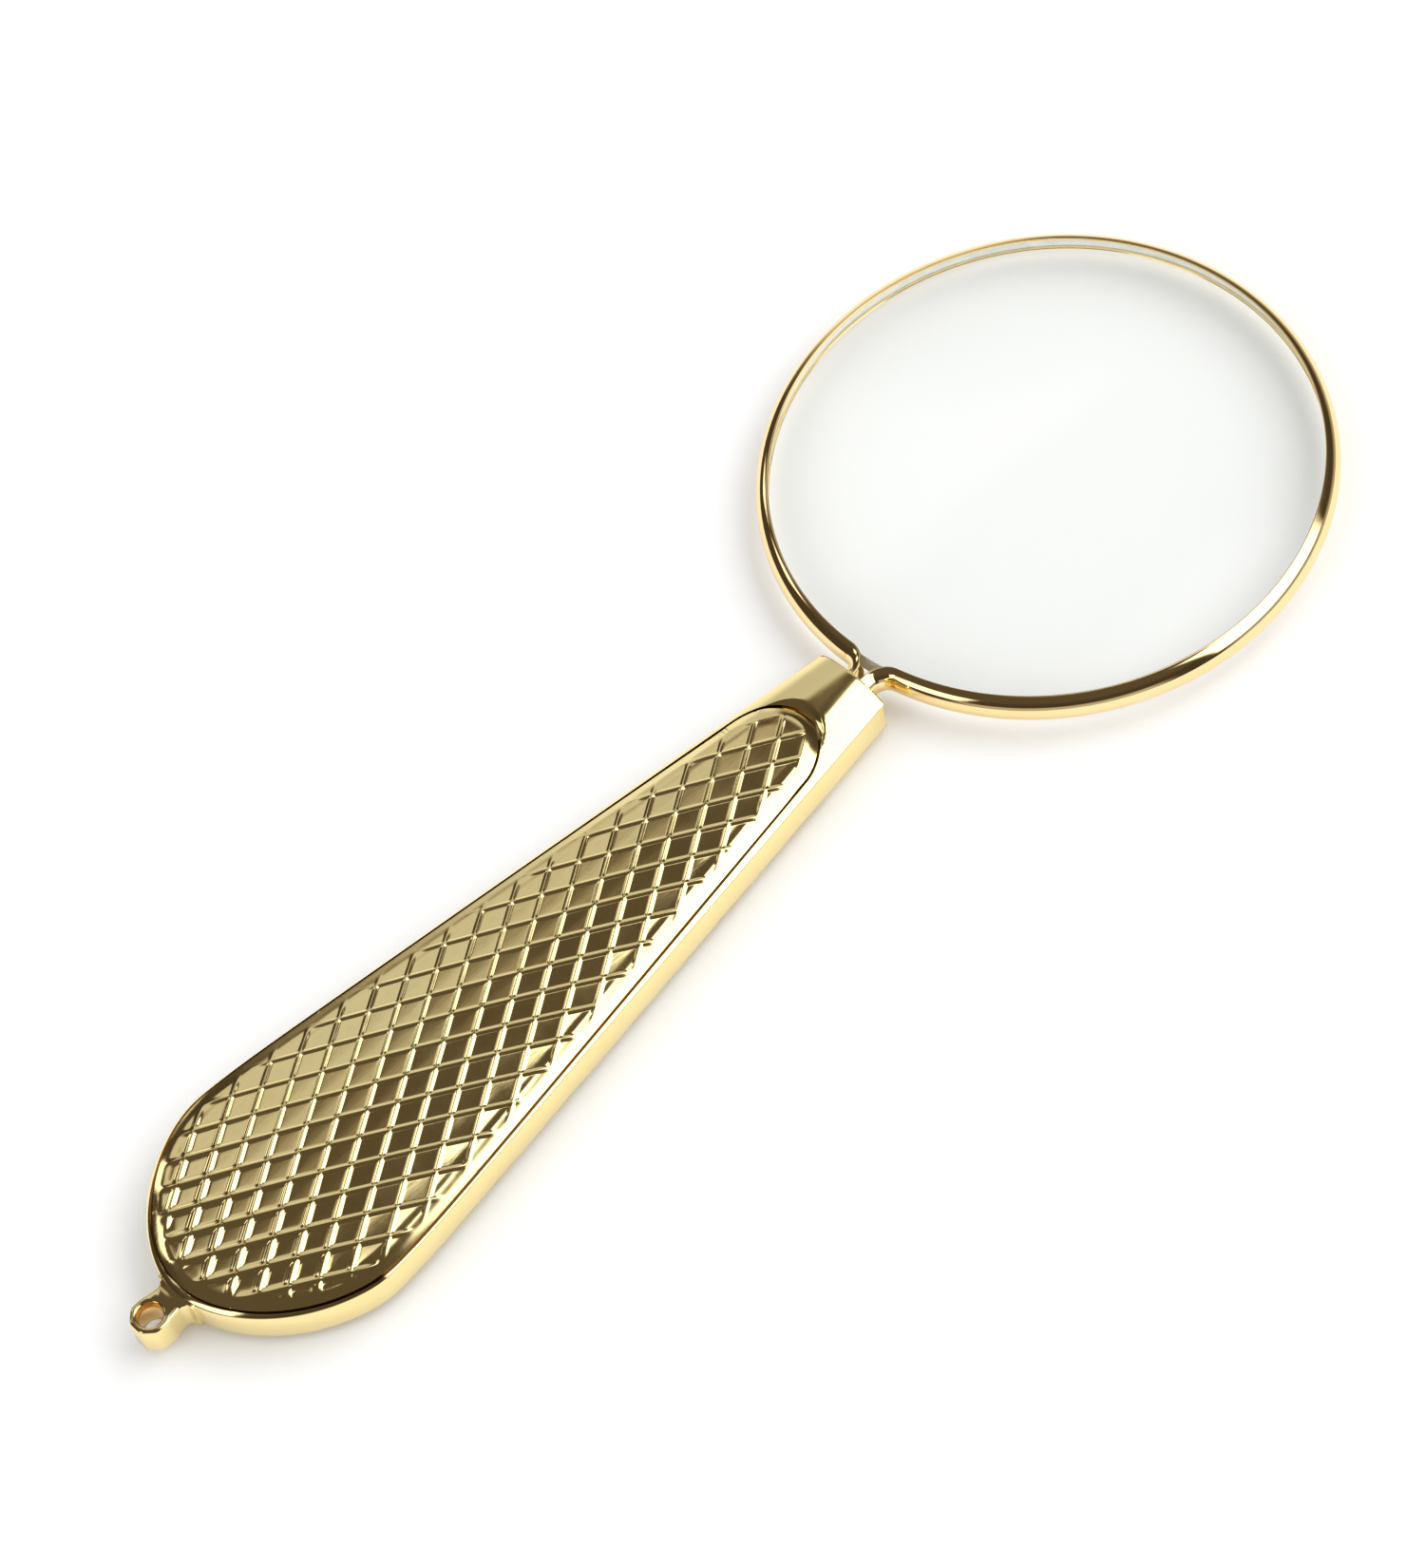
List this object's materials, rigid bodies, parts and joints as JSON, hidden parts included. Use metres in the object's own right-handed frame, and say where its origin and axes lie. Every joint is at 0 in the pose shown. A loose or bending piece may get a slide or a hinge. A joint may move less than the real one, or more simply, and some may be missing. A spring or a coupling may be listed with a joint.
{
  "type": "hand magnifier",
  "caption": "Hand-held magnifying glass: biconvex lens in a thin split metal ring, on a flat flared handle with a diamond-embossed panel and a small tail eye.",
  "frame": {"origin": "centre of the tail eye's hole, on the handle's mid-plane", "axes": "+Y up the handle towards the lens, +Z out of the front face along the eye's hole, +X to the right seen from the front"},
  "size_m": [0.0637, 0.1686, 0.0066],
  "materials": {
    "glass": "clear polished glass with a faint green edge",
    "plated_ring": "mirror-polished pale gold plating on brass",
    "plated_shell": "mirror-polished pale gold plating on a cast or stamped shell",
    "bare_brass": "plain machined brass, out of sight",
    "steel_pin": "plain drawn steel, out of sight"
  },
  "bodies": {
    "root": {"lens": "glass", "lens_ring": "plated_ring", "ring_sleeve": "bare_brass", "handle_front": "plated_shell", "handle_back": "plated_shell", "tail_eye": "plated_shell", "shell_dowels": "steel_pin"}
  },
  "joints": []
}
